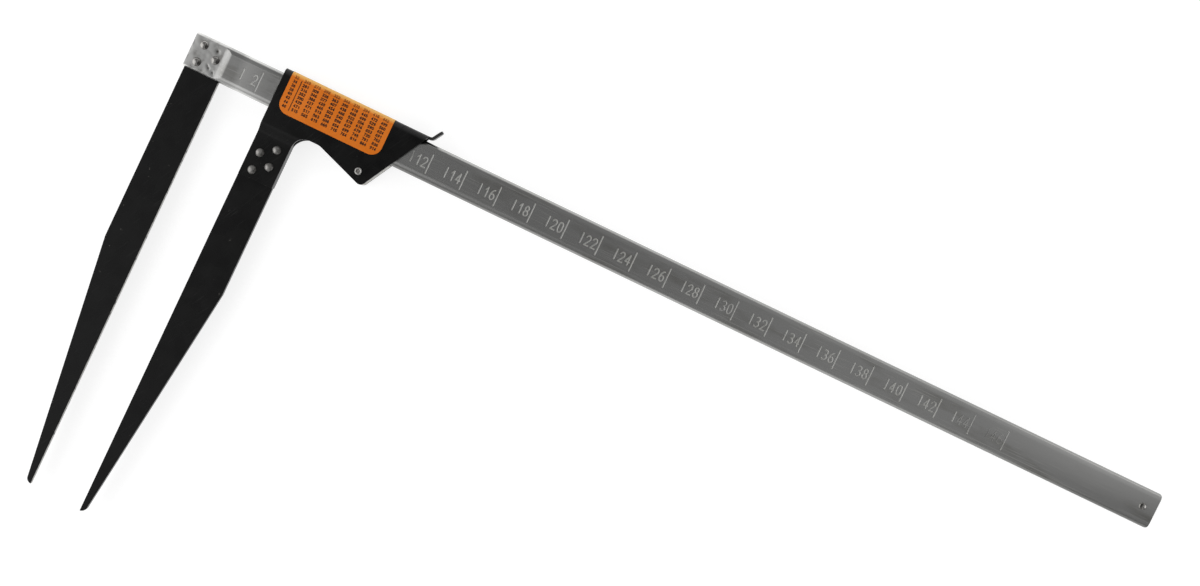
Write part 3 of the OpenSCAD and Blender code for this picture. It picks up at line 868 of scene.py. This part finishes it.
window = add(tree, "Math", {0: window_side, 1: window_head}, operation="MULTIPLY").outputs[0]
room = add(tree, "MapRange", {0: window, 3: room_grey, 4: window_white}).outputs[0]
endward, backward, up = add(tree, "SeparateXYZ", {0: facing}).outputs
panel = add(
    tree, "MapRange", {0: endward, 1: panel_near[0], 2: panel_near[1], 3: 0.0, 4: panel_white}
).outputs[0]
panel_end = add(
    tree, "MapRange", {0: endward, 1: panel_far[0], 2: panel_far[1], 3: 1.0, 4: 0.0}
).outputs[0]
room = add(tree, "Math", {0: panel, 1: panel_end, 2: room}, operation="MULTIPLY_ADD").outputs[0]
far_wall = add(tree, "MapRange", {0: endward, 1: far_wall_run[0], 2: far_wall_run[1]}).outputs[0]
room = add(tree, "Math", {0: far_wall, 1: far_wall_darker, 2: room}, operation="MULTIPLY_ADD").outputs[0]
back_wall = add(
    tree, "MapRange", {0: backward, 1: back_wall_run[0], 2: back_wall_run[1], 3: 0.0, 4: back_wall_paler}
).outputs[0]
room = add(tree, "Math", {0: room, 1: back_wall}, operation="ADD").outputs[0]
horizon = add(
    tree, "MapRange", {0: up, 1: horizon_rise[0], 2: horizon_rise[1], 3: horizon_white, 4: 0.0}
).outputs[0]
horizon_end = add(tree, "MapRange", {0: far_wall, 3: 1.0, 4: horizon_least}).outputs[0]
room = add(tree, "Math", {0: horizon, 1: horizon_end, 2: room}, operation="MULTIPLY_ADD").outputs[0]
sky = add(tree, "Background", {"Color": room, "Strength": 1.0})
add(tree, "OutputWorld", {0: sky.outputs[0]})


def soft_box(name, size, radiance, place, aim):
    """A rectangular lamp given by the brightness of its face"""
    lamp = bpy.data.lights.new(name, "AREA")
    lamp.shape = "RECTANGLE"
    lamp.size, lamp.size_y = size
    lamp.energy = radiance * math.pi * size[0] * size[1]
    holder = bpy.data.objects.new(name, lamp)
    holder.location = place
    holder.rotation_euler = (Vector(aim) - Vector(place)).to_track_quat("-Z", "Y").to_euler()
    holder.visible_glossy = False
    bpy.context.scene.collection.objects.link(holder)


box_size = (1.0, 0.6)
jaw_end, free_end = (0.05, 0.0, 0.0), (0.45, 0.0, 0.0)
soft_box("soft_box_front", box_size, 3.8, (-0.71, -0.68, 0.41), jaw_end)
soft_box("soft_box_back", box_size, 3.8, (-0.71, 0.68, 0.41), jaw_end)
soft_box("soft_box_end", box_size, 3.0, (1.25, 0.0, 0.45), free_end)

camera_distance = 0.850
camera_aim = Vector((0.23149, -0.01279, 0.0035))
camera_pitch, camera_yaw, camera_roll = -2.08, -0.51, 25.66
pixels_per_metre = 1879.2
image_width = 1200
turn = (
    Matrix.Rotation(math.radians(camera_pitch), 4, "X")
    @ Matrix.Rotation(math.radians(camera_yaw), 4, "Y")
    @ Matrix.Rotation(math.radians(camera_roll), 4, "Z")
)
camera_data = bpy.data.cameras.new("camera")
camera_data.sensor_width = 36.0
camera_data.lens = pixels_per_metre * camera_distance * camera_data.sensor_width / image_width
camera = bpy.data.objects.new("camera", camera_data)
camera.matrix_world = Matrix.Translation(camera_aim + turn.col[2].xyz * camera_distance) @ turn
bpy.context.scene.collection.objects.link(camera)
bpy.context.scene.camera = camera
bpy.context.scene.view_settings.view_transform = "Standard"
